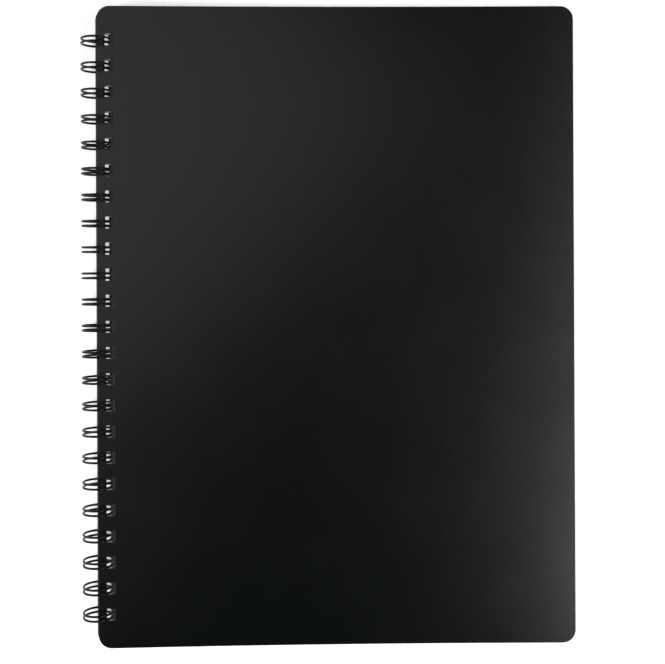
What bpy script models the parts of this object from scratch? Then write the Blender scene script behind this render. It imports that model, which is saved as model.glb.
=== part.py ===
"""Wire-bound music folder for A4 sheets, lying closed with its spine on the left.

Metres, +Z up, origin at the middle of the footprint on the table. Two black plastic covers and a stack
of clear pockets are punched along the spine and held by one continuous twin-loop wire. Every leaf turns
on the wire's axis, so every leaf has its origin there, and leaf shapes are drawn from that axis: x runs
towards the fore edge, y along the spine and z up from the axis.
"""

import math

import bmesh
import bpy
from mathutils import Vector
from mathutils.kdtree import KDTree

MM = 0.001

# Sheet of music that a pocket takes
SHEET_WIDTH = 210.0 * MM
SHEET_LENGTH = 297.0 * MM

# Clear pockets: a punched back film with a front film welded to it along three sides
SLEEVE_COUNT = 10
FILM_THICKNESS = 0.06 * MM
WELD_WIDTH = 1.5 * MM
POCKET_SIDE_ROOM = 2.0 * MM
POCKET_END_ROOM = 6.5 * MM
MOUTH_SETBACK = 5.0 * MM
THUMB_NOTCH_RADIUS = 11.0 * MM
SLEEVE_CORNER_RADIUS = 3.0 * MM

# Covers
COVER_THICKNESS = 0.7 * MM
COVER_END_OVERHANG = 3.5 * MM
COVER_FORE_OVERHANG = 4.5 * MM
COVER_CORNER_RADIUS = 6.3 * MM

# Twin-loop wire
RING_DIAMETER = 14.9 * MM
WIRE_DIAMETER = 1.1 * MM
LOOP_PITCH = 12.7 * MM
TWIN_SPACING = 2.25 * MM
LINK_BEND_RADIUS = 1.0 * MM
LINK_CLEARANCE = 1.0 * MM
SEAM_GAP = 0.2 * MM
END_STUB = 2.5 * MM
COMB_SLIP = 0.5 * MM

# Punched holes that the loops pass through
HOLE_OUTER_CLEARANCE = 1.35 * MM
HOLE_INNER_CLEARANCE = 1.2 * MM
HOLE_SIDE_CLEARANCE = 1.275 * MM
HOLE_TO_SPINE = 3.9 * MM
HOLE_TO_POCKET = 5.0 * MM
HOLE_END_MARGIN = 6.0 * MM
SLEEVE_SPINE_INSET = 1.2 * MM

# The leaves hang from the wire and ease down to the table, with a little air between neighbours
DESCENT_RUN = 190.0 * MM
GAP_AT_SPINE = 0.10 * MM
GAP_ON_TABLE = 0.12 * MM

# The front cover lies further out than the leaves under it, whose holes lean on the wire from outside
LEAN_CLEARANCE = 0.12 * MM

# Fineness of the curves
DESCENT_STEPS = 10
CORNER_STEPS = 4
NOTCH_STEPS = 8
LOOP_STEPS = 12
LINK_BEND_STEPS = 1
TIP_STEPS = 3
GAP_SAMPLE = 0.4 * MM

# Heights in the stack
WIRE_RADIUS = WIRE_DIAMETER / 2
RING_OUTER_RADIUS = RING_DIAMETER / 2
RING_RADIUS = RING_OUTER_RADIUS - WIRE_RADIUS
FILM_COUNT = 2 * SLEEVE_COUNT
STACK_SOLID = 2 * COVER_THICKNESS + FILM_COUNT * FILM_THICKNESS
STACK_HEIGHT = STACK_SOLID + (FILM_COUNT + 1) * GAP_AT_SPINE
STACK_TOP = STACK_HEIGHT / 2
AXIS_HEIGHT = RING_OUTER_RADIUS
DROP_TO_TABLE = AXIS_HEIGHT - STACK_TOP

# Holes, from where the loops cross the top and the bottom of the stack
LOOP_INNER_CROSSING = math.sqrt((RING_RADIUS - WIRE_RADIUS) ** 2 - STACK_TOP**2)
HOLE_NEAR = LOOP_INNER_CROSSING - HOLE_INNER_CLEARANCE
HOLE_FAR = RING_OUTER_RADIUS + HOLE_OUTER_CLEARANCE
HOLE_LENGTH = TWIN_SPACING + WIRE_DIAMETER + 2 * HOLE_SIDE_CLEARANCE

# Outlines of the leaves
SPINE_EDGE = HOLE_NEAR - HOLE_TO_SPINE
POCKET_EDGE = HOLE_FAR + HOLE_TO_POCKET
SLEEVE_FORE_EDGE = POCKET_EDGE + SHEET_WIDTH + POCKET_SIDE_ROOM + 2 * WELD_WIDTH
SLEEVE_LENGTH = SHEET_LENGTH + POCKET_END_ROOM + WELD_WIDTH
COVER_FORE_EDGE = SLEEVE_FORE_EDGE + COVER_FORE_OVERHANG
COVER_LENGTH = SLEEVE_LENGTH + 2 * COVER_END_OVERHANG

# As many loops as the sleeves' spine takes
LOOP_COUNT = int((SLEEVE_LENGTH - HOLE_LENGTH - 2 * HOLE_END_MARGIN) / LOOP_PITCH) + 1
LOOP_PLACES = [LOOP_PITCH * (i - (LOOP_COUNT - 1) / 2) for i in range(LOOP_COUNT)]

# The wire's links lie under the back cover, and the rings open a little so that the loops' tips close
# right under the links
LINK_HEIGHT = -STACK_TOP - LINK_CLEARANCE - WIRE_RADIUS
LINK_ANGLE = math.asin(LINK_HEIGHT / RING_RADIUS)
LINK_REACH = RING_RADIUS * math.cos(LINK_ANGLE)
TIP_HEIGHT = LINK_HEIGHT - WIRE_DIAMETER - SEAM_GAP
TIP_RADIUS = math.hypot(LINK_REACH, TIP_HEIGHT)
TIP_ANGLE = math.tau + math.atan2(TIP_HEIGHT, LINK_REACH)
RING_BOTTOM_ANGLE = 1.5 * math.pi

AXIS = Vector(((RING_OUTER_RADIUS - COVER_FORE_EDGE) / 2, 0, AXIS_HEIGHT))


def clear_scene():
    for obj in list(bpy.data.objects):
        bpy.data.objects.remove(obj, do_unlink=True)


def new_collection(name):
    collection = bpy.data.collections.new(name)
    bpy.context.scene.collection.children.link(collection)
    return collection


def new_material(name, color, roughness, metallic=0.0, alpha=1.0):
    material = bpy.data.materials.new(name)
    material.use_nodes = True
    shader = material.node_tree.nodes["Principled BSDF"]
    shader.inputs["Base Color"].default_value = (*color, 1.0)
    shader.inputs["Roughness"].default_value = roughness
    shader.inputs["Metallic"].default_value = metallic
    shader.inputs["Alpha"].default_value = alpha
    return material


def new_curve(name, dimensions, outlines, cyclic):
    """Curve object at the wire's axis with one straight-segment spline for each outline."""
    curve = bpy.data.curves.new(name, "CURVE")
    curve.dimensions = dimensions
    for outline in outlines:
        spline = curve.splines.new("POLY")
        spline.points.add(len(outline) - 1)
        for point, place in zip(spline.points, outline):
            point.co = (*place, 1.0)
        spline.use_cyclic_u = cyclic
    obj = bpy.data.objects.new(name, curve)
    obj.location = AXIS
    return obj


def arc(centre, radius, start, stop, steps):
    """Points of an arc in the plane of a leaf, angles in degrees."""
    points = []
    for i in range(steps + 1):
        turn = math.radians(start + (stop - start) * i / steps)
        points.append((centre[0] + radius * math.cos(turn), centre[1] + radius * math.sin(turn), 0))
    return points


def rounded_outline(near, far, bottom, top, radius, mouth=()):
    """Rectangle with round corners, and the points of a mouth let into its top edge."""
    outline = arc((near + radius, bottom + radius), radius, 180, 270, CORNER_STEPS)
    outline += arc((far - radius, bottom + radius), radius, 270, 360, CORNER_STEPS)
    outline += arc((far - radius, top - radius), radius, 0, 90, CORNER_STEPS)
    outline += mouth
    outline += arc((near + radius, top - radius), radius, 90, 180, CORNER_STEPS)
    return outline


def hole_outlines():
    """One rectangular hole around each loop of the wire."""
    half = HOLE_LENGTH / 2
    return [
        [(HOLE_NEAR, y - half, 0), (HOLE_FAR, y - half, 0), (HOLE_FAR, y + half, 0), (HOLE_NEAR, y + half, 0)]
        for y in LOOP_PLACES
    ]


def die_shape(name, outlines, cutters):
    """Mesh of the upright prism that trims a bent sheet to its outline and punches its holes."""
    curve = new_curve(name + "_outline", "2D", outlines, cyclic=True)
    curve.data.fill_mode = "BOTH"
    curve.data.extrude = RING_DIAMETER
    cutters.objects.link(curve)
    evaluated = curve.evaluated_get(bpy.context.evaluated_depsgraph_get())
    mesh = bpy.data.meshes.new_from_object(evaluated)
    bm = bmesh.new()
    bm.from_mesh(mesh)
    bmesh.ops.remove_doubles(bm, verts=bm.verts, dist=MM / 1000)
    bmesh.ops.recalc_face_normals(bm, faces=bm.faces)
    bm.to_mesh(mesh)
    bm.free()
    bpy.data.objects.remove(curve, do_unlink=True)
    return mesh


def place_die(name, shape, lean, cutters):
    die = bpy.data.objects.new(name, shape)
    die.location = AXIS - Vector((lean, 0, 0))
    die.hide_render = True
    die.display_type = "WIRE"
    cutters.objects.link(die)
    return die


def leaf_height(x, solid_below, gaps_below):
    """Height over the wire's axis, at a distance x from it, of a point with so much of the stack below it."""
    share = min((x - LOOP_INNER_CROSSING) / DESCENT_RUN, 1)
    eased = 1 - (1 - share) ** 2
    gap = GAP_AT_SPINE + (GAP_ON_TABLE - GAP_AT_SPINE) * eased
    return -STACK_TOP - DROP_TO_TABLE * eased + solid_below + gaps_below * gap


def stack_lean(solid_below, gaps_below, thickness):
    """How far a leaf under the front cover lies towards the spine, until its holes meet the loops."""
    bottom = solid_below + gaps_below * GAP_AT_SPINE - STACK_TOP
    off_axis = max(bottom, -bottom - thickness, 0)
    return HOLE_FAR - math.sqrt((RING_OUTER_RADIUS + LEAN_CLEARANCE) ** 2 - off_axis**2)


def bent_leaf(name, thickness, solid_below, gaps_below, die, material, parts):
    """Sheet bent from the wire to the table on top of the sheets below it, and cut by its die."""
    steps = [DESCENT_RUN * i / DESCENT_STEPS for i in range(1, DESCENT_STEPS + 1)]
    stations = [SPINE_EDGE - HOLE_TO_SPINE, COVER_FORE_EDGE + COVER_FORE_OVERHANG]
    stations += [LOOP_INNER_CROSSING + step for step in steps]
    middle = solid_below + thickness / 2
    bm = bmesh.new()
    line = [bm.verts.new((x, -COVER_LENGTH, leaf_height(x, middle, gaps_below))) for x in sorted(stations)]
    edges = [bm.edges.new(pair) for pair in zip(line, line[1:])]
    grown = bmesh.ops.extrude_edge_only(bm, edges=edges)["geom"]
    moved = [item for item in grown if isinstance(item, bmesh.types.BMVert)]
    bmesh.ops.translate(bm, verts=moved, vec=(0, 2 * COVER_LENGTH, 0))
    for face in bm.faces:
        face.normal_update()
        if face.normal.z < 0:
            face.normal_flip()
    mesh = bpy.data.meshes.new(name)
    bm.to_mesh(mesh)
    bm.free()
    mesh.materials.append(material)
    leaf = bpy.data.objects.new(name, mesh)
    leaf.location = AXIS
    parts.objects.link(leaf)
    shell = leaf.modifiers.new("sheet", "SOLIDIFY")
    shell.thickness = thickness
    shell.offset = 0
    shell.use_even_offset = True
    cut = leaf.modifiers.new("die cut", "BOOLEAN")
    cut.operation = "INTERSECT"
    cut.object = die
    return leaf


def on_ring(angle, y):
    """Point of a loop, which leaves the round ring past its lowest place and opens towards the tip."""
    share = max(angle - RING_BOTTOM_ANGLE, 0) / (TIP_ANGLE - RING_BOTTOM_ANGLE)
    radius = RING_RADIUS + (TIP_RADIUS - RING_RADIUS) * share**2
    return Vector((radius * math.cos(angle), y, radius * math.sin(angle)))


def wire_bend(angle, y, radius, start, stop, steps):
    """Points of a bend that lies on the ring's surface, about a centre at an angle and a y there."""
    points = []
    for i in range(steps + 1):
        turn = math.radians(start + (stop - start) * i / steps)
        points.append(on_ring(angle + radius * math.cos(turn) / RING_RADIUS, y + radius * math.sin(turn)))
    return points


def wire_route():
    """The whole wire: link, up and round a loop to its tip, back down the twin, and on to the next link."""
    places = [y - COMB_SLIP for y in LOOP_PLACES]
    half = TWIN_SPACING / 2
    foot = LINK_ANGLE + LINK_BEND_RADIUS / RING_RADIUS
    shoulder = TIP_ANGLE - half / RING_RADIUS
    angles = [foot + (shoulder - foot) * i / LOOP_STEPS for i in range(1, LOOP_STEPS)]
    reach = half + LINK_BEND_RADIUS
    route = [on_ring(LINK_ANGLE, places[0] - reach - END_STUB)]
    for y in places:
        route += wire_bend(foot, y - reach, LINK_BEND_RADIUS, 180, 90, LINK_BEND_STEPS)
        route += [on_ring(angle, y - half) for angle in angles]
        route += wire_bend(shoulder, y, half, -90, 90, TIP_STEPS)
        route += [on_ring(angle, y + half) for angle in reversed(angles)]
        route += wire_bend(foot, y + reach, LINK_BEND_RADIUS, 270, 180, LINK_BEND_STEPS)
    route.append(on_ring(LINK_ANGLE, places[-1] + reach + END_STUB))
    return route


def least_wire_gap(route):
    """Least gap between stretches of the wire that are further apart along it than a loop's tip is long."""
    samples = []
    lengths = []
    along = 0.0
    for start, stop in zip(route, route[1:]):
        length = (stop - start).length
        count = max(1, math.ceil(length / GAP_SAMPLE))
        for i in range(count):
            samples.append(start.lerp(stop, i / count))
            lengths.append(along + length * i / count)
        along += length
    tree = KDTree(len(samples))
    for i, sample in enumerate(samples):
        tree.insert(sample, i)
    tree.balance()
    tip_length = math.pi * TWIN_SPACING / 2 + WIRE_DIAMETER
    least = RING_DIAMETER
    for i, sample in enumerate(samples):
        for _, j, distance in tree.find_range(sample, TWIN_SPACING + WIRE_DIAMETER):
            if abs(lengths[i] - lengths[j]) > tip_length:
                least = min(least, distance)
    return least - WIRE_DIAMETER


def wire_binding(material, parts):
    route = wire_route()
    wire = new_curve("wire_binding", "3D", [route], cyclic=False)
    wire.data.bevel_depth = WIRE_RADIUS
    wire.data.bevel_resolution = 1
    wire.data.use_fill_caps = True
    wire.data.materials.append(material)
    parts.objects.link(wire)
    print(f"wire: {LOOP_COUNT} twin loops, least gap to itself {least_wire_gap(route) / MM:.2f} mm")


def cover(name, shapes, solid_below, gaps_below, lean, plastic, parts, cutters):
    die = place_die(name + "_die", shapes["cover"], lean, cutters)
    bent_leaf(name, COVER_THICKNESS, solid_below, gaps_below, die, plastic, parts)


def sleeve(number, shapes, film, parts, cutters):
    """Pocket whose two films hang on one empty at the wire's axis; number 1 lies under the front cover."""
    hinge = bpy.data.objects.new(f"sleeve_{number:02d}", None)
    hinge.location = AXIS
    parts.objects.link(hinge)
    films_below = FILM_COUNT - 2 * number
    pocket_height = 2 * FILM_THICKNESS + GAP_AT_SPINE
    lean = stack_lean(COVER_THICKNESS + films_below * FILM_THICKNESS, films_below + 1, pocket_height)
    for side in ("back_film", "front_film"):
        solid_below = COVER_THICKNESS + films_below * FILM_THICKNESS
        name = f"{hinge.name}_{side}"
        die = place_die(name + "_die", shapes[side], lean, cutters)
        leaf = bent_leaf(name, FILM_THICKNESS, solid_below, films_below + 1, die, film, parts)
        leaf.location = (0, 0, 0)
        leaf.parent = hinge
        films_below += 1


def die_shapes(cutters):
    cover_half = COVER_LENGTH / 2
    sleeve_half = SLEEVE_LENGTH / 2
    mouth_top = sleeve_half - MOUTH_SETBACK
    mouth_middle = (POCKET_EDGE + SLEEVE_FORE_EDGE) / 2
    whole = rounded_outline(SPINE_EDGE, COVER_FORE_EDGE, -cover_half, cover_half, COVER_CORNER_RADIUS)
    sleeve_near = SPINE_EDGE + SLEEVE_SPINE_INSET
    back = rounded_outline(sleeve_near, SLEEVE_FORE_EDGE, -sleeve_half, sleeve_half, SLEEVE_CORNER_RADIUS)
    notch = arc((mouth_middle, mouth_top), THUMB_NOTCH_RADIUS, 360, 180, NOTCH_STEPS)
    front = rounded_outline(
        POCKET_EDGE, SLEEVE_FORE_EDGE, -sleeve_half, mouth_top, SLEEVE_CORNER_RADIUS, notch
    )
    return {
        "cover": die_shape("cover", [whole, *hole_outlines()], cutters),
        "back_film": die_shape("back_film", [back, *hole_outlines()], cutters),
        "front_film": die_shape("front_film", [front], cutters),
    }


def main():
    clear_scene()
    parts = new_collection("music_folder")
    cutters = new_collection("cutters")
    cover_plastic = new_material("black_cover_plastic", (0.022, 0.023, 0.025), 0.5)
    coated_wire = new_material("black_coated_wire", (0.012, 0.012, 0.012), 0.35, metallic=0.2)
    clear_film = new_material("clear_pocket_film", (0.85, 0.87, 0.88), 0.2, alpha=0.3)
    shapes = die_shapes(cutters)

    wire_binding(coated_wire, parts)
    back_lean = stack_lean(0, 0, COVER_THICKNESS)
    cover("back_cover", shapes, 0, 0, back_lean, cover_plastic, parts, cutters)
    for number in range(1, SLEEVE_COUNT + 1):
        sleeve(number, shapes, clear_film, parts, cutters)
    below = STACK_SOLID - COVER_THICKNESS
    cover("front_cover", shapes, below, FILM_COUNT + 1, 0, cover_plastic, parts, cutters)


main()
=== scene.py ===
# %% [markdown]
# # A wire-bound music folder
# Two black plastic covers and ten clear pockets hang on one black twin-loop wire. The imported frame gives
# the places, the sizes and the joints. This lesson gives each piece its finished shape and its surface,
# and starts by loading that frame.

# %% Load the frame
import math

import bmesh
import bpy
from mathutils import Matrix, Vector


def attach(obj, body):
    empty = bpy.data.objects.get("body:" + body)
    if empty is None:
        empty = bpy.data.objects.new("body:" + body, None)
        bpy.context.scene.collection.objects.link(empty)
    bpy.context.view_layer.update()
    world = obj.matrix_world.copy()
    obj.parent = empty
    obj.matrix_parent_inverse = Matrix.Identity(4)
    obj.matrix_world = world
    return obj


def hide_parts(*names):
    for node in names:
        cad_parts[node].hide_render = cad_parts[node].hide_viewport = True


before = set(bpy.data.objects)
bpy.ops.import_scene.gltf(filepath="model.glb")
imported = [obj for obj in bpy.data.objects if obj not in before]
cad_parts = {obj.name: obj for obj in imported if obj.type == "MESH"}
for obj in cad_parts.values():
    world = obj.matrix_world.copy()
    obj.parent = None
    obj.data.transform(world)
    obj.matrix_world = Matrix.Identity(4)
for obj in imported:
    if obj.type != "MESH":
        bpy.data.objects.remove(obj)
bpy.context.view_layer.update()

MM = 0.001
scene = bpy.context.scene

# %% [markdown]
# ## Camera
# The folder was photographed from straight above, and the picture was cropped afterwards, so its optical
# axis runs above the middle of the picture. A tilted camera would make the sides of the cover converge,
# which they don't. A level camera with a small vertical shift keeps them parallel, as a crop does.

# %% Place the camera
IMAGE_WIDTH = 665
IMAGE_HEIGHT = 664
FOCAL_LENGTH_PX = 971.5
OPTICAL_AXIS_ROW = 261.85
SENSOR_WIDTH = 36.0
CAMERA_PLACE = (2.0 * MM, 31.15 * MM, 481.2 * MM)
CAMERA_TURN = -0.0045

camera_data = bpy.data.cameras.new("camera")
camera_data.sensor_fit = "HORIZONTAL"
camera_data.sensor_width = SENSOR_WIDTH
camera_data.lens = FOCAL_LENGTH_PX / IMAGE_WIDTH * SENSOR_WIDTH
camera_data.shift_y = (OPTICAL_AXIS_ROW - IMAGE_HEIGHT / 2) / IMAGE_WIDTH
camera = bpy.data.objects.new("camera", camera_data)
camera.location = CAMERA_PLACE
camera.rotation_euler = (0, 0, CAMERA_TURN)
scene.collection.objects.link(camera)
scene.camera = camera
scene.view_settings.view_transform = "Standard"
print(f"camera: {camera_data.lens:.1f} mm lens, {camera.location.z / MM:.0f} mm above the table")

# %% [markdown]
# ## Table
# The folder lies on a white table that is bright enough to lose its own edges, while the gap under the
# spine still falls into shadow. More lamp light would burn out the folder as well. Instead the table gets
# a glow that only the eye sees: the Light Path node tells camera, mirror and see-through rays apart from
# the rays that carry light, so nothing else in the scene is lit by that glow.


# %% Tell the rays apart
def add_nodes(tree, **kinds):
    """New shader nodes, by a name of our own."""
    return {name: tree.nodes.new(f"ShaderNode{kind}") for name, kind in kinds.items()}


def seen_rays(tree):
    """Socket that is 1 on rays that show a surface to the eye, directly, in a mirror or through glass."""
    made = add_nodes(tree, path="LightPath", mirror="Math", glass="Math")
    made["mirror"].operation = "MAXIMUM"
    made["glass"].operation = "MAXIMUM"
    link = tree.links.new
    link(made["path"].outputs["Is Camera Ray"], made["mirror"].inputs[0])
    link(made["path"].outputs["Is Glossy Ray"], made["mirror"].inputs[1])
    link(made["mirror"].outputs[0], made["glass"].inputs[0])
    link(made["path"].outputs["Is Transmission Ray"], made["glass"].inputs[1])
    return made["glass"].outputs[0]


# %% Table paint
FLOOR_GLOW = 0.36
FLOOR_WHITE = (0.9, 0.9, 0.9, 1.0)

table_paint = bpy.data.materials.new("white_table")
table_paint.use_nodes = True
table_paint.cycles.emission_sampling = "NONE"
tree = table_paint.node_tree
tree.nodes.clear()
made = add_nodes(
    tree,
    out="OutputMaterial",
    both="AddShader",
    paint="BsdfDiffuse",
    glow="Emission",
    level="Math",
)
made["paint"].inputs["Color"].default_value = FLOOR_WHITE
made["level"].operation = "MULTIPLY"
made["level"].inputs[1].default_value = FLOOR_GLOW
link = tree.links.new
link(seen_rays(tree), made["level"].inputs[0])
link(made["level"].outputs[0], made["glow"].inputs["Strength"])
link(made["paint"].outputs[0], made["both"].inputs[0])
link(made["glow"].outputs[0], made["both"].inputs[1])
link(made["both"].outputs[0], made["out"].inputs["Surface"])
print(f"{table_paint.name}: a glow of {FLOOR_GLOW} over the paint")

# %% Lay the table
FLOOR_SIZE = 6.0
FLOOR_DEPTH = 0.05 * MM

bm = bmesh.new()
bmesh.ops.create_grid(bm, x_segments=1, y_segments=1, size=FLOOR_SIZE / 2)
bmesh.ops.translate(bm, vec=(0, 0, -FLOOR_DEPTH), verts=bm.verts)
table_mesh = bpy.data.meshes.new("table")
bm.to_mesh(table_mesh)
bm.free()
table_mesh.materials.append(table_paint)
table = bpy.data.objects.new("table", table_mesh)
scene.collection.objects.link(table)
print(f"table: {FLOOR_SIZE:.0f} m square")

# %% [markdown]
# ## Studio light
# A black sheet shows hardly any light of its own: almost all that one sees on it is a soft reflection of
# the room, so its lamps are placed for what they look like in that mirror. A wide, dim panel hangs over
# the upper left, and a narrow, bright softbox stands at the right, so the sheet is lightest at the upper
# left and along its right edge. A third lamp stands at the left, about 40 degrees up. It whitens the table
# beside the spine and leaves a faint sheen on the lower left of the cover. No lamp is quite neutral, so
# each has a slight tint.

# %% Hang the lamps
AIM = Vector((2.0 * MM, 30.9 * MM, 0))


def softbox(name, offset, width, height, radiance, tint):
    """Area lamp at an offset from the point that it is aimed at, with the brightness and tint of its face."""
    lamp = bpy.data.lights.new(name, "AREA")
    lamp.shape = "RECTANGLE"
    lamp.size = width
    lamp.size_y = height
    lamp.energy = radiance * math.pi * width * height
    lamp.color = tint
    holder = bpy.data.objects.new(name, lamp)
    holder.location = AIM + Vector(offset)
    holder.rotation_mode = "QUATERNION"
    holder.rotation_quaternion = (-Vector(offset)).to_track_quat("-Z", "Y")
    holder.visible_camera = False
    scene.collection.objects.link(holder)
    print(f"{name}: {lamp.energy:.1f} W")


softbox(
    "overhead_panel",
    offset=(-0.496, 0.433, 1.141),
    width=0.793,
    height=1.385,
    radiance=0.80,
    tint=(0.98, 1.0, 0.94),
)
softbox(
    "right_softbox",
    offset=(0.411, -0.070, 0.483),
    width=0.72,
    height=0.136,
    radiance=11.7,
    tint=(0.94, 0.975, 1.0),
)
softbox(
    "left_fill",
    offset=(-0.64, -0.19, 0.55),
    width=0.5,
    height=0.5,
    radiance=8.0,
    tint=(0.95, 0.985, 1.0),
)

# %% [markdown]
# ## Room
# Around the table stands a room that is dim overhead and white at the horizon. It could be an image, but
# a ramp over the height of the view direction is enough for what a black sheet and a wire mirror of it.
# The camera itself sees plain white, and rays that carry light see nothing, so the lamps alone light the
# folder.

# %% Paint the room
ROOM_DIM = 0.011
HORIZON_WHITE = 1.0
HORIZON_HEIGHT = 0.3

room = bpy.data.worlds.new("room")
room.use_nodes = True
scene.world = room
tree = room.node_tree
made = add_nodes(
    tree,
    way="TexCoord",
    split="SeparateXYZ",
    low="MapRange",
    path="LightPath",
    shown="Math",
    seen="Math",
)
made["low"].inputs["From Min"].default_value = 0.0
made["low"].inputs["From Max"].default_value = HORIZON_HEIGHT
made["low"].inputs["To Min"].default_value = HORIZON_WHITE
made["low"].inputs["To Max"].default_value = ROOM_DIM
made["shown"].operation = "MULTIPLY"
made["seen"].operation = "MAXIMUM"
link = tree.links.new
link(made["way"].outputs["Generated"], made["split"].inputs[0])
link(made["split"].outputs["Z"], made["low"].inputs["Value"])
link(made["low"].outputs[0], made["shown"].inputs[0])
link(seen_rays(tree), made["shown"].inputs[1])
link(made["shown"].outputs[0], made["seen"].inputs[0])
link(made["path"].outputs["Is Camera Ray"], made["seen"].inputs[1])
link(made["seen"].outputs[0], tree.nodes["Background"].inputs["Strength"])
print(f"room: {ROOM_DIM} overhead, {HORIZON_WHITE} at the horizon")

# %% [markdown]
# ## Sizes of the folder
# The pieces below repeat the folder's own measures. All lengths are drawn from the wire's axis: x runs
# towards the fore edge, y along the spine and z up. Holes and edges follow from where the loops cross the
# stack of leaves, so a change of the wire or of the stack moves them along.

# %% Stack of leaves
SLEEVE_COUNT = 10
FILM_THICKNESS = 0.06 * MM
COVER_THICKNESS = 0.7 * MM
GAP_AT_SPINE = 0.10 * MM

FILM_COUNT = 2 * SLEEVE_COUNT
STACK_SOLID = 2 * COVER_THICKNESS + FILM_COUNT * FILM_THICKNESS
STACK_TOP = (STACK_SOLID + (FILM_COUNT + 1) * GAP_AT_SPINE) / 2
print(f"stack: {FILM_COUNT} films and 2 covers, {2 * STACK_TOP / MM:.1f} mm high at the wire")

# %% Wire and holes
RING_DIAMETER = 14.9 * MM
WIRE_DIAMETER = 1.1 * MM
LOOP_PITCH = 12.7 * MM
TWIN_SPACING = 2.25 * MM
HOLE_OUTER_CLEARANCE = 1.35 * MM
HOLE_INNER_CLEARANCE = 1.2 * MM
HOLE_SIDE_CLEARANCE = 1.275 * MM

WIRE_RADIUS = WIRE_DIAMETER / 2
RING_OUTER_RADIUS = RING_DIAMETER / 2
RING_RADIUS = RING_OUTER_RADIUS - WIRE_RADIUS
LOOP_INNER_CROSSING = math.sqrt((RING_RADIUS - WIRE_RADIUS) ** 2 - STACK_TOP**2)
HOLE_NEAR = LOOP_INNER_CROSSING - HOLE_INNER_CLEARANCE
HOLE_FAR = RING_OUTER_RADIUS + HOLE_OUTER_CLEARANCE
HOLE_LENGTH = TWIN_SPACING + WIRE_DIAMETER + 2 * HOLE_SIDE_CLEARANCE
print(f"holes: {(HOLE_FAR - HOLE_NEAR) / MM:.1f} by {HOLE_LENGTH / MM:.1f} mm")

# %% Outlines
SHEET_WIDTH = 210.0 * MM
SHEET_LENGTH = 297.0 * MM
WELD_WIDTH = 1.5 * MM
POCKET_SIDE_ROOM = 2.0 * MM
POCKET_END_ROOM = 6.5 * MM
COVER_END_OVERHANG = 3.5 * MM
COVER_FORE_OVERHANG = 4.5 * MM
HOLE_TO_SPINE = 3.9 * MM
HOLE_TO_POCKET = 5.0 * MM
HOLE_END_MARGIN = 6.0 * MM

SPINE_EDGE = HOLE_NEAR - HOLE_TO_SPINE
POCKET_EDGE = HOLE_FAR + HOLE_TO_POCKET
SLEEVE_FORE_EDGE = POCKET_EDGE + SHEET_WIDTH + POCKET_SIDE_ROOM + 2 * WELD_WIDTH
SLEEVE_LENGTH = SHEET_LENGTH + POCKET_END_ROOM + WELD_WIDTH
COVER_FORE_EDGE = SLEEVE_FORE_EDGE + COVER_FORE_OVERHANG
COVER_LENGTH = SLEEVE_LENGTH + 2 * COVER_END_OVERHANG
LOOP_COUNT = int((SLEEVE_LENGTH - HOLE_LENGTH - 2 * HOLE_END_MARGIN) / LOOP_PITCH) + 1
LOOP_PLACES = [LOOP_PITCH * (i - (LOOP_COUNT - 1) / 2) for i in range(LOOP_COUNT)]
AXIS = Vector(((RING_OUTER_RADIUS - COVER_FORE_EDGE) / 2, 0, RING_OUTER_RADIUS))
print(f"folder: {LOOP_COUNT} loops")
print(f"covers: {(COVER_FORE_EDGE - SPINE_EDGE) / MM:.1f} by {COVER_LENGTH / MM:.1f} mm")

# %% [markdown]
# ## Lie of the leaves
# A leaf hangs from the wire and eases down to the table, so one formula for its height bends every sheet
# of the stack. A cloth simulation could let the leaves fall, but so many sheets a tenth of a millimetre
# apart would soon cut through each other. The front cover has slid about a millimetre towards the fore
# edge, and the holes of the leaves under it lean on the wire, so each of those leaves also gets a small
# move towards the spine.

# %% Height and lean of a leaf
DESCENT_RUN = 190.0 * MM
GAP_ON_TABLE = 0.12 * MM
LEAN_CLEARANCE = 0.12 * MM
DROP_TO_TABLE = RING_OUTER_RADIUS - STACK_TOP


def leaf_height(x, solid_below, gaps_below):
    """Height over the wire's axis, at a distance x from it, of a point with so much of the stack below it."""
    share = min((x - LOOP_INNER_CROSSING) / DESCENT_RUN, 1)
    eased = 1 - (1 - share) ** 2
    gap = GAP_AT_SPINE + (GAP_ON_TABLE - GAP_AT_SPINE) * eased
    return -STACK_TOP - DROP_TO_TABLE * eased + solid_below + gaps_below * gap


def stack_lean(solid_below, gaps_below, thickness):
    """How far a leaf under the front cover lies towards the spine, until its holes meet the loops."""
    bottom = solid_below + gaps_below * GAP_AT_SPINE - STACK_TOP
    off_axis = max(bottom, -bottom - thickness, 0)
    return HOLE_FAR - math.sqrt((RING_OUTER_RADIUS + LEAN_CLEARANCE) ** 2 - off_axis**2)


back_lean = stack_lean(0, 0, COVER_THICKNESS)
print(f"drop from wire to table: {DROP_TO_TABLE / MM:.1f} mm, lean of the back cover {back_lean / MM:.1f} mm")

# %% [markdown]
# ## Sheets: outline, holes and bend
# Covers and films are all die-cut sheets, so they share a few steps. A sheet starts as one rectangle, and
# a vertex bevel rounds its corners. Straight cuts frame the row of holes, the cells inside are deleted,
# and more cuts across the sheet let it bend. Cutting a face in place keeps neighbouring cells joined,
# which a row of Boolean cutters would not leave so tidy.

# %% Rectangle with round corners
CORNER_SEGMENTS = 18


def rectangle(near, far, bottom, top):
    bm = bmesh.new()
    bmesh.ops.create_grid(bm, x_segments=1, y_segments=1, size=0.5)
    bmesh.ops.scale(bm, vec=(far - near, top - bottom, 1), verts=bm.verts)
    bmesh.ops.translate(bm, vec=((near + far) / 2, (bottom + top) / 2, 0), verts=bm.verts)
    return bm


def round_corners(bm, corners, radius):
    bmesh.ops.bevel(
        bm,
        geom=corners,
        offset=radius,
        affect="VERTICES",
        segments=CORNER_SEGMENTS,
        profile=0.5,
        material=-1,
    )


print(f"round corners: {CORNER_SEGMENTS} segments each")

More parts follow.
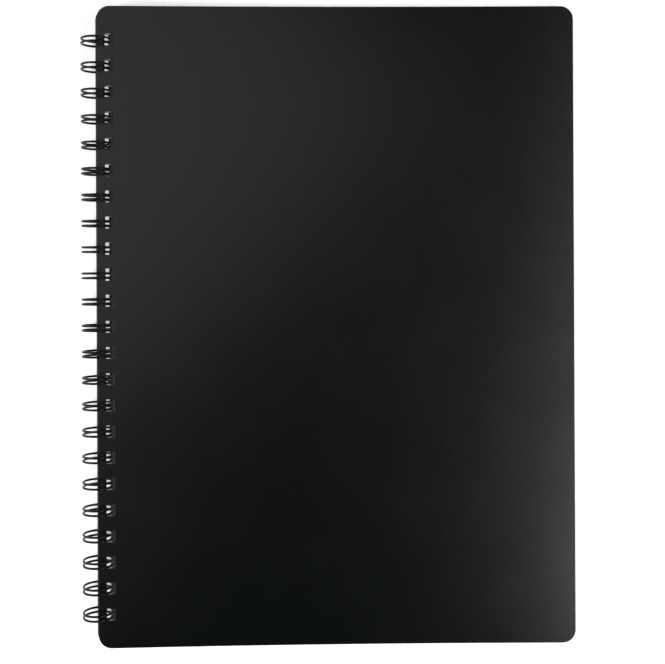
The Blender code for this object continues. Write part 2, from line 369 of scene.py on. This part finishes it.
# %% Straight cuts and holes
SNAP = 0.00001 * MM
DIRECTIONS = {"x": Vector((1, 0, 0)), "y": Vector((0, 1, 0))}


def cut(bm, axis, place, faces):
    """Split some faces with an upright plane that crosses the x or y axis at a place."""
    parts = {*faces}
    for face in faces:
        parts |= {*face.edges, *face.verts}
    direction = DIRECTIONS[axis]
    bmesh.ops.bisect_plane(bm, geom=list(parts), dist=SNAP, plane_co=direction * place, plane_no=direction)


def row_of_holes(bm):
    return [face for face in bm.faces if HOLE_NEAR < face.calc_center_median().x < HOLE_FAR]


def punch_holes(bm):
    """Cut a frame around each hole, and delete the cells inside."""
    cut(bm, "x", HOLE_NEAR, bm.faces[:])
    cut(bm, "x", HOLE_FAR, bm.faces[:])
    half = HOLE_LENGTH / 2
    for y in LOOP_PLACES:
        cut(bm, "y", y - half, row_of_holes(bm))
        cut(bm, "y", y + half, row_of_holes(bm))
    middles = [(face, face.calc_center_median().y) for face in row_of_holes(bm)]
    cells = [face for face, middle in middles if any(abs(middle - y) < half for y in LOOP_PLACES)]
    bmesh.ops.delete(bm, geom=cells, context="FACES")
    print(f"punched: {len(cells)} holes")


# %% Thickness and bend
BEND_CUTS = 38
BEND_END = LOOP_INNER_CROSSING + DESCENT_RUN


def cut_for_bend(bm):
    for i in range(1, BEND_CUTS + 1):
        cut(bm, "x", HOLE_FAR + (BEND_END - HOLE_FAR) * i / BEND_CUTS, bm.faces[:])


def thicken(bm, thickness):
    grown = bmesh.ops.extrude_face_region(bm, geom=bm.faces[:])["geom"]
    upper = [item for item in grown if isinstance(item, bmesh.types.BMVert)]
    bmesh.ops.translate(bm, vec=(0, 0, thickness), verts=upper)
    bmesh.ops.recalc_face_normals(bm, faces=bm.faces[:])


def bend_copy(flat, solid_below, gaps_below, lean):
    """Copy of a flat sheet, moved by the lean of the stack and bent into its place there."""
    bm = flat.copy()
    bmesh.ops.translate(bm, vec=(-lean, 0, 0), verts=bm.verts)
    for vert in bm.verts:
        vert.co.z += leaf_height(vert.co.x, solid_below, gaps_below)
    bmesh.ops.translate(bm, vec=AXIS, verts=bm.verts)
    return bm


print(f"bend: {BEND_CUTS} cuts, the last one {BEND_END / MM:.0f} mm from the wire's axis")

# %% [markdown]
# ## Handing a piece over
# A finished bmesh becomes an object at the origin, with its place in its mesh. It rides on the body that
# carries it, stands in for the solid of the same piece, and gets a slot for its finish. Its open edges are
# counted, because a sheet with thickness has none.

# %% Finish a piece
LEAF_CREASE = 15
WIRE_CREASE = 60


def finish_piece(bm, name, body, node, materials, crease=LEAF_CREASE):
    """Object of a finished bmesh that rides on a body and stands for a CAD node."""
    opened = sum(not edge.is_manifold for edge in bm.edges)
    mesh = bpy.data.meshes.new(name)
    bm.to_mesh(mesh)
    bm.free()
    mesh.shade_smooth()
    mesh.set_sharp_from_angle(angle=math.radians(crease))
    for material in materials:
        mesh.materials.append(material)
    piece = bpy.data.objects.new(name, mesh)
    scene.collection.objects.link(piece)
    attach(piece, body)
    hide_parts(node)
    print(f"{name}: {len(mesh.polygons)} faces, {opened} open edges")


# %% [markdown]
# ## Shared surface effect
# Embossed plastic, coated wire and clear film all have a fine grain, only at another size and depth. One
# node group draws it for all of them: a fine noise for the height of the grain and a broad noise for slow
# changes in shine. It reads the piece's own Object coordinates, in metres. A painted texture would have
# to be unwrapped for every sheet, and noise in space needs no unwrapping.

# %% Node group for grain
GRAIN_VALUES = ("Grain Scale", "Mottle Scale", "Roughness", "Mottle Spread", "Grain Spread")
GRAIN_RESULTS = ("Height", "Mottle", "Roughness")
GRAIN_DETAIL = 2.0
MOTTLE_DETAIL = 3.0


def new_group(name, values, results):
    """Node group with a vector and some values going in, and some values coming out."""
    group = bpy.data.node_groups.new(name, "ShaderNodeTree")
    group.interface.new_socket("Vector", in_out="INPUT", socket_type="NodeSocketVector")
    for label in values:
        group.interface.new_socket(label, in_out="INPUT", socket_type="NodeSocketFloat")
    for label in results:
        group.interface.new_socket(label, in_out="OUTPUT", socket_type="NodeSocketFloat")
    return group, group.nodes.new("NodeGroupInput"), group.nodes.new("NodeGroupOutput")


def surface_grain():
    group, given, result = new_group("surface_grain", GRAIN_VALUES, GRAIN_RESULTS)
    made = add_nodes(
        group,
        grain="TexNoise",
        mottle="TexNoise",
        broad="Math",
        fine="Math",
        first="Math",
        second="Math",
    )
    made["grain"].inputs["Detail"].default_value = GRAIN_DETAIL
    made["mottle"].inputs["Detail"].default_value = MOTTLE_DETAIL
    for name in ("broad", "fine"):
        made[name].operation = "MULTIPLY"
    link = group.links.new
    for name, label in (("grain", "Grain Scale"), ("mottle", "Mottle Scale")):
        link(given.outputs["Vector"], made[name].inputs["Vector"])
        link(given.outputs[label], made[name].inputs["Scale"])
    link(made["mottle"].outputs["Fac"], made["broad"].inputs[0])
    link(given.outputs["Mottle Spread"], made["broad"].inputs[1])
    link(made["grain"].outputs["Fac"], made["fine"].inputs[0])
    link(given.outputs["Grain Spread"], made["fine"].inputs[1])
    link(given.outputs["Roughness"], made["first"].inputs[0])
    link(made["broad"].outputs[0], made["first"].inputs[1])
    link(made["first"].outputs[0], made["second"].inputs[0])
    link(made["fine"].outputs[0], made["second"].inputs[1])
    link(made["grain"].outputs["Fac"], result.inputs["Height"])
    link(made["mottle"].outputs["Fac"], result.inputs["Mottle"])
    link(made["second"].outputs[0], result.inputs["Roughness"])
    return group


GRAIN = surface_grain()
print(f"group: {GRAIN.name}, {len(GRAIN.nodes)} nodes")


# %% A surface with grain
def grained(name, dark, light, bump_depth, **grain):
    """Principled material whose colour runs between two tones and whose shine and relief follow the grain."""
    material = bpy.data.materials.new(name)
    material.use_nodes = True
    tree = material.node_tree
    made = add_nodes(tree, place="TexCoord", grain="Group", tone="Mix", bump="Bump")
    made["grain"].node_tree = GRAIN
    for label, value in grain.items():
        made["grain"].inputs[label.replace("_", " ").title()].default_value = value
    made["tone"].data_type = "RGBA"
    made["tone"].inputs["A"].default_value = (*dark, 1.0)
    made["tone"].inputs["B"].default_value = (*light, 1.0)
    made["bump"].inputs["Distance"].default_value = bump_depth
    shader = tree.nodes["Principled BSDF"]
    link = tree.links.new
    link(made["place"].outputs["Object"], made["grain"].inputs["Vector"])
    link(made["grain"].outputs["Mottle"], made["tone"].inputs["Factor"])
    link(made["grain"].outputs["Height"], made["bump"].inputs["Height"])
    link(made["tone"].outputs["Result"], shader.inputs["Base Color"])
    link(made["grain"].outputs["Roughness"], shader.inputs["Roughness"])
    link(made["bump"].outputs["Normal"], shader.inputs["Normal"])
    print(f"finish: {name}")
    return material, shader


# %% [markdown]
# ## Cover plastic
# The covers are black polypropylene with a fine matt grain. Pure black would look like a hole in the
# picture, so the tones stay just above it, and the soft reflection of the lamps does the rest. Cut rims
# get a material of their own, because a cut edge is rougher and paler than the pressed face.

# %% Mix the cover plastic
PLASTIC_IOR = 1.49

cover_plastic, shader = grained(
    "black_cover_plastic",
    dark=(0.0004, 0.0010, 0.0010),
    light=(0.0008, 0.0016, 0.0016),
    bump_depth=0.008 * MM,
    grain_scale=2600.0,
    mottle_scale=30.0,
    roughness=0.20,
    mottle_spread=0.04,
    grain_spread=0.12,
)
shader.inputs["IOR"].default_value = PLASTIC_IOR
cut_plastic, shader = grained(
    "cut_cover_edge",
    dark=(0.006, 0.007, 0.008),
    light=(0.012, 0.013, 0.014),
    bump_depth=0.01 * MM,
    grain_scale=1500.0,
    mottle_scale=300.0,
    roughness=0.38,
    mottle_spread=0.06,
    grain_spread=0.1,
)
shader.inputs["IOR"].default_value = PLASTIC_IOR

# %% [markdown]
# ## Covers
# A cover is cut from a sheet, with round corners. A cut sheet is never knife-sharp: its rims are broken,
# and that hair of a bevel is what draws a thin light line around a black sheet. So the flat sheet gets its
# thickness first, then round corners in its holes, then the bevelled rims, and is bent last. Bevelling
# the bent sheet would work too, but on a flat one the sharp edges are easier to tell by their angle.

# %% Flat cover
COVER_CORNER_RADIUS = 6.3 * MM
HOLE_CORNER_RADIUS = 0.35 * MM
HOLE_CORNER_SEGMENTS = 3
RIM_BEVEL = 0.12 * MM
RIM_SEGMENTS = 2
SHARP_ANGLE = math.radians(60)
LEVEL_NORMAL = 0.99


def is_upright(edge):
    return abs(edge.verts[0].co.z - edge.verts[1].co.z) > COVER_THICKNESS / 2


def bevel_edges(bm, edges, width, segments):
    bmesh.ops.bevel(
        bm,
        geom=edges,
        offset=width,
        affect="EDGES",
        segments=segments,
        profile=0.5,
        material=-1,
    )


def flat_cover():
    half = COVER_LENGTH / 2
    bm = rectangle(SPINE_EDGE, COVER_FORE_EDGE, -half, half)
    round_corners(bm, bm.verts[:], COVER_CORNER_RADIUS)
    punch_holes(bm)
    cut_for_bend(bm)
    thicken(bm, COVER_THICKNESS)
    corners = [edge for edge in bm.edges if is_upright(edge) and edge.calc_face_angle(0) > SHARP_ANGLE]
    bevel_edges(bm, corners, HOLE_CORNER_RADIUS, HOLE_CORNER_SEGMENTS)
    rims = [edge for edge in bm.edges if not is_upright(edge) and edge.calc_face_angle(0) > SHARP_ANGLE]
    bevel_edges(bm, rims, RIM_BEVEL, RIM_SEGMENTS)
    for face in bm.faces:
        face.normal_update()
        face.material_index = int(abs(face.normal.z) < LEVEL_NORMAL)
    print(f"flat cover: {len(corners)} hole corners, {len(rims)} rim edges")
    return bm


# %% Both covers
flat = flat_cover()
cover_finish = [cover_plastic, cut_plastic]
back = bend_copy(flat, 0, 0, back_lean)
finish_piece(back, "back_cover_sheet", "back", "back_cover", cover_finish)
front = bend_copy(flat, STACK_SOLID - COVER_THICKNESS, FILM_COUNT + 1, 0)
finish_piece(front, "front_cover_sheet", "front", "front_cover", cover_finish)
flat.free()

# %% [markdown]
# ## Twin-loop wire
# One length of black coated wire makes the whole binding. It runs along a link under the back cover, bends
# up, goes round through the holes to a narrow tip, turns back beside itself and drops to the next link.
# Pressed shut, the rings open a little at their end, so that the tips lie right under the links. A curve
# with a round bevel follows that route exactly, and its mesh is kept in place of the curve.

# %% Points on a loop
LINK_CLEARANCE = 1.0 * MM
SEAM_GAP = 0.2 * MM
LINK_HEIGHT = -STACK_TOP - LINK_CLEARANCE - WIRE_RADIUS
LINK_ANGLE = math.asin(LINK_HEIGHT / RING_RADIUS)
LINK_REACH = RING_RADIUS * math.cos(LINK_ANGLE)
TIP_HEIGHT = LINK_HEIGHT - WIRE_DIAMETER - SEAM_GAP
TIP_RADIUS = math.hypot(LINK_REACH, TIP_HEIGHT)
TIP_ANGLE = math.tau + math.atan2(TIP_HEIGHT, LINK_REACH)
RING_BOTTOM_ANGLE = 1.5 * math.pi


def on_ring(angle, y):
    """Point of a loop, which leaves the round ring past its lowest place and opens towards the tip."""
    share = max(angle - RING_BOTTOM_ANGLE, 0) / (TIP_ANGLE - RING_BOTTOM_ANGLE)
    radius = RING_RADIUS + (TIP_RADIUS - RING_RADIUS) * share**2
    return AXIS + Vector((radius * math.cos(angle), y, radius * math.sin(angle)))


def wire_bend(angle, y, radius, start, stop, steps):
    """Points of a bend that lies on the ring's surface, about a centre at an angle and a y there."""
    points = []
    for i in range(steps + 1):
        turn = math.radians(start + (stop - start) * i / steps)
        points.append(on_ring(angle + radius * math.cos(turn) / RING_RADIUS, y + radius * math.sin(turn)))
    return points


print(f"loop: from {math.degrees(LINK_ANGLE):.0f} to {math.degrees(TIP_ANGLE):.0f} degrees round the ring")

# %% Wire route
LINK_BEND_RADIUS = 1.0 * MM
END_STUB = 2.5 * MM
COMB_SLIP = 0.5 * MM
LOOP_STEPS = 44
LINK_BEND_STEPS = 6
TIP_STEPS = 12


def wire_route():
    places = [y - COMB_SLIP for y in LOOP_PLACES]
    half = TWIN_SPACING / 2
    foot = LINK_ANGLE + LINK_BEND_RADIUS / RING_RADIUS
    shoulder = TIP_ANGLE - half / RING_RADIUS
    angles = [foot + (shoulder - foot) * i / LOOP_STEPS for i in range(1, LOOP_STEPS)]
    reach = half + LINK_BEND_RADIUS
    route = [on_ring(LINK_ANGLE, places[0] - reach - END_STUB)]
    for y in places:
        route += wire_bend(foot, y - reach, LINK_BEND_RADIUS, 180, 90, LINK_BEND_STEPS)
        route += [on_ring(angle, y - half) for angle in angles]
        route += wire_bend(shoulder, y, half, -90, 90, TIP_STEPS)
        route += [on_ring(angle, y + half) for angle in reversed(angles)]
        route += wire_bend(foot, y + reach, LINK_BEND_RADIUS, 270, 180, LINK_BEND_STEPS)
    route.append(on_ring(LINK_ANGLE, places[-1] + reach + END_STUB))
    return route


route = wire_route()
wire_length = sum((stop - start).length for start, stop in zip(route, route[1:]))
print(f"wire: {len(route)} points, {wire_length:.2f} m long")

# %% [markdown]
# ## Coated wire
# The wire has a smooth black nylon coat, glossier than the covers. Its highlights are a little warm and
# weaker than those of bare plastic, since a thin wire in a white room would otherwise look grey all over.

# %% Wire coat
WIRE_SHINE = 0.22
WIRE_SHINE_TINT = (1.0, 0.92, 0.86, 1.0)

coated_wire, shader = grained(
    "black_coated_wire",
    dark=(0.0020, 0.0016, 0.0013),
    light=(0.0050, 0.0042, 0.0036),
    bump_depth=0.01 * MM,
    grain_scale=1800.0,
    mottle_scale=250.0,
    roughness=0.27,
    mottle_spread=0.08,
    grain_spread=0.06,
)
shader.inputs["Specular IOR Level"].default_value = WIRE_SHINE
shader.inputs["Specular Tint"].default_value = WIRE_SHINE_TINT

# %% Bend the wire
WIRE_SIDES = 5

path = bpy.data.curves.new("wire_path", "CURVE")
path.dimensions = "3D"
path.bevel_depth = WIRE_RADIUS
path.bevel_resolution = WIRE_SIDES
path.use_fill_caps = True
spline = path.splines.new("POLY")
spline.points.add(len(route) - 1)
for point, place in zip(spline.points, route):
    point.co = (*place, 1.0)
carrier = bpy.data.objects.new("wire_path", path)
scene.collection.objects.link(carrier)
bpy.context.view_layer.update()
bm = bmesh.new()
bm.from_mesh(carrier.to_mesh())
bmesh.ops.remove_doubles(bm, verts=bm.verts, dist=SNAP)
bmesh.ops.recalc_face_normals(bm, faces=bm.faces)
bpy.data.objects.remove(carrier, do_unlink=True)
finish_piece(bm, "wire_comb", "back", "wire_binding", [coated_wire], WIRE_CREASE)

# %% [markdown]
# ## Film finishes
# A pocket is made of clear film, which shows as a faint veil and a little gloss. Glass would need
# refraction through twenty thin sheets. A low alpha gives the same veil with far less work, as long as a
# ray may pass enough surfaces. The film is milky where it is welded. Its cut edges are opaque and pale,
# painted light for the light that clear film carries to its edges, and its punched margin is near black,
# painted shade for the dark gap beside the wire in the holes.

# %% Mix the film finishes
FILM_PASSES = 96
scene.cycles.transparent_max_bounces = FILM_PASSES


def clear_film(name, alpha, **finish):
    material, shader = grained(name, **finish)
    shader.inputs["Alpha"].default_value = alpha
    shader.inputs["IOR"].default_value = PLASTIC_IOR
    return material


film_clear = clear_film(
    "clear_film",
    alpha=0.07,
    dark=(0.72, 0.80, 0.84),
    light=(0.84, 0.89, 0.91),
    bump_depth=0.6 * MM,
    grain_scale=26.0,
    mottle_scale=120.0,
    roughness=0.12,
    mottle_spread=0.08,
    grain_spread=0.04,
)
# Painted light: the cut edges are opaque and pale, in place of the light that clear film carries to its
# edges.
film_edge_painted_light = clear_film(
    "film_cut_edge_painted_light",
    alpha=1.0,
    dark=(0.82, 0.90, 0.96),
    light=(0.92, 0.96, 0.99),
    bump_depth=0.01 * MM,
    grain_scale=1500.0,
    mottle_scale=200.0,
    roughness=0.3,
    mottle_spread=0.1,
    grain_spread=0.1,
)
film_weld = clear_film(
    "film_weld",
    alpha=0.22,
    dark=(0.74, 0.80, 0.83),
    light=(0.88, 0.91, 0.92),
    bump_depth=0.05 * MM,
    grain_scale=1400.0,
    mottle_scale=200.0,
    roughness=0.25,
    mottle_spread=0.1,
    grain_spread=0.15,
)
# Painted shade: the margin strip is near black, standing in for the dark gap beside the wire in the holes.
film_strip_painted_shade = clear_film(
    "film_binding_strip_painted_shade",
    alpha=0.9,
    dark=(0.004, 0.006, 0.008),
    light=(0.008, 0.011, 0.013),
    bump_depth=0.01 * MM,
    grain_scale=900.0,
    mottle_scale=200.0,
    roughness=0.5,
    mottle_spread=0.1,
    grain_spread=0.1,
)
film_finish = [film_clear, film_edge_painted_light, film_weld, film_strip_painted_shade]
FILM_EDGE_PAINTED_LIGHT, FILM_WELD, FILM_STRIP_PAINTED_SHADE = 1, 2, 3

# %% [markdown]
# ## Back films
# The back film of a pocket is punched and hangs on the wire. Its margin is thicker than the rest, because
# the binding strip is bonded there, so the stack stays full at the wire. The strip is part of the same
# mesh: two more cuts make a short ramp, and the upper face is lifted on the wire's side of it.

# %% Flat back film
SLEEVE_SPINE_INSET = 1.2 * MM
SLEEVE_CORNER_RADIUS = 3.0 * MM
SLEEVE_HALF = SLEEVE_LENGTH / 2
MARGIN_THICKNESS = 2 * FILM_THICKNESS + GAP_AT_SPINE
STRIP_GAP = 0.02 * MM
STRIP_THICKNESS = MARGIN_THICKNESS + GAP_AT_SPINE - STRIP_GAP
STRIP_SETBACK = 0.3 * MM
STRIP_RAMP = 0.3 * MM
STEEP_NORMAL = 0.5


def mark_cut_edges(bm):
    # Steep faces get the pale cut-edge finish, which is painted light for the glow of the film's edges.
    for face in bm.faces:
        face.normal_update()
        if abs(face.normal.z) < STEEP_NORMAL:
            face.material_index = FILM_EDGE_PAINTED_LIGHT


def flat_back_film():
    bm = rectangle(SPINE_EDGE + SLEEVE_SPINE_INSET, SLEEVE_FORE_EDGE, -SLEEVE_HALF, SLEEVE_HALF)
    round_corners(bm, bm.verts[:], SLEEVE_CORNER_RADIUS)
    punch_holes(bm)
    cut_for_bend(bm)
    strip_edge = POCKET_EDGE - STRIP_SETBACK
    cut(bm, "x", strip_edge, bm.faces[:])
    cut(bm, "x", strip_edge - STRIP_RAMP, bm.faces[:])
    thicken(bm, FILM_THICKNESS)
    for vert in bm.verts:
        if vert.co.z > FILM_THICKNESS / 2:
            share = min(max((strip_edge - vert.co.x) / STRIP_RAMP, 0), 1)
            vert.co.z += (STRIP_THICKNESS - FILM_THICKNESS) * share
    # The wire's side of the strip edge gets the near-black finish, painted shade for the gap beside the wire.
    for face in bm.faces:
        if face.calc_center_median().x < strip_edge:
            face.material_index = FILM_STRIP_PAINTED_SHADE
    mark_cut_edges(bm)
    return bm


back_film = flat_back_film()
print(f"flat back film: {len(back_film.faces)} faces, strip {STRIP_THICKNESS / MM:.2f} mm thick")

# %% [markdown]
# ## Front films
# The front film is welded to the back film along three sides, with an open mouth at the top and a notch
# for the thumb. The notch is a rectangular dip whose two inner corners get a bevel as wide as the dip is
# deep, which makes a half circle. The welded border lies lower than the rest, because there the two films
# meet.

# %% Thumb notch
MOUTH_SETBACK = 5.0 * MM
THUMB_NOTCH_RADIUS = 11.0 * MM
NOTCH_ROUNDING = 0.999
MOUTH_TOP = SLEEVE_HALF - MOUTH_SETBACK
MOUTH_MIDDLE = (POCKET_EDGE + SLEEVE_FORE_EDGE) / 2


def cut_thumb_notch(bm):
    """Half-round notch in the mouth; its rounding stays just short of the full radius, so no arcs meet."""
    left = MOUTH_MIDDLE - THUMB_NOTCH_RADIUS
    right = MOUTH_MIDDLE + THUMB_NOTCH_RADIUS
    floor = MOUTH_TOP - THUMB_NOTCH_RADIUS
    cut(bm, "x", left, bm.faces[:])
    cut(bm, "x", right, bm.faces[:])
    cut(bm, "y", floor, [face for face in bm.faces if left < face.calc_center_median().x < right])
    middles = [(face, face.calc_center_median()) for face in bm.faces]
    cell = [face for face, middle in middles if left < middle.x < right and middle.y > floor]
    bmesh.ops.delete(bm, geom=cell, context="FACES")
    bmesh.ops.dissolve_edges(bm, edges=[edge for edge in bm.edges if not edge.is_boundary], use_verts=True)
    inner = [vert for vert in bm.verts if abs(vert.co.y - floor) < 10 * SNAP]
    round_corners(bm, inner, THUMB_NOTCH_RADIUS * NOTCH_ROUNDING)
    print(f"thumb notch: {len(cell)} cell cut out, {len(inner)} corners rounded")


# %% Flat front film
WELD_RAMP = 0.4 * MM
WELD_DIP = 0.09 * MM


def weld_share(x, y):
    """1 on the welded border, 0 on the free film, and a short ramp between them."""
    inside = min(x - POCKET_EDGE, SLEEVE_FORE_EDGE - x, y + SLEEVE_HALF)
    return min(max((WELD_WIDTH + WELD_RAMP - inside) / WELD_RAMP, 0), 1)


def flat_front_film():
    bm = rectangle(POCKET_EDGE, SLEEVE_FORE_EDGE, -SLEEVE_HALF, MOUTH_TOP)
    round_corners(bm, bm.verts[:], SLEEVE_CORNER_RADIUS)
    cut_thumb_notch(bm)
    cut_for_bend(bm)
    for depth in (WELD_WIDTH, WELD_WIDTH + WELD_RAMP):
        cut(bm, "x", POCKET_EDGE + depth, bm.faces[:])
        cut(bm, "x", SLEEVE_FORE_EDGE - depth, bm.faces[:])
        cut(bm, "y", depth - SLEEVE_HALF, bm.faces[:])
    thicken(bm, FILM_THICKNESS)
    for face in bm.faces:
        middle = face.calc_center_median()
        if weld_share(middle.x, middle.y) == 1:
            face.material_index = FILM_WELD
    mark_cut_edges(bm)
    for vert in bm.verts:
        vert.co.z -= WELD_DIP * weld_share(vert.co.x, vert.co.y)
    return bm


front_film = flat_front_film()
print(f"flat front film: {len(front_film.faces)} faces")

# %% [markdown]
# ## Ten pockets
# The flat films are the same for every pocket, so they are made once and copied. Pocket 1 lies under the
# front cover. Each copy is bent for its own height in the stack and leans on the wire with its pocket.

# %% Fill the folder with pockets
flat_films = {"back": back_film, "front": front_film}
for number in range(1, SLEEVE_COUNT + 1):
    body = f"sleeve_{number:02d}"
    films_below = FILM_COUNT - 2 * number
    lean = stack_lean(COVER_THICKNESS + films_below * FILM_THICKNESS, films_below + 1, MARGIN_THICKNESS)
    for side, flat in flat_films.items():
        film = bend_copy(flat, COVER_THICKNESS + films_below * FILM_THICKNESS, films_below + 1, lean)
        name = f"pocket_{number:02d}_{side}"
        finish_piece(film, name, body, f"{body}_{side}_film", film_finish)
        films_below += 1
for flat in flat_films.values():
    flat.free()
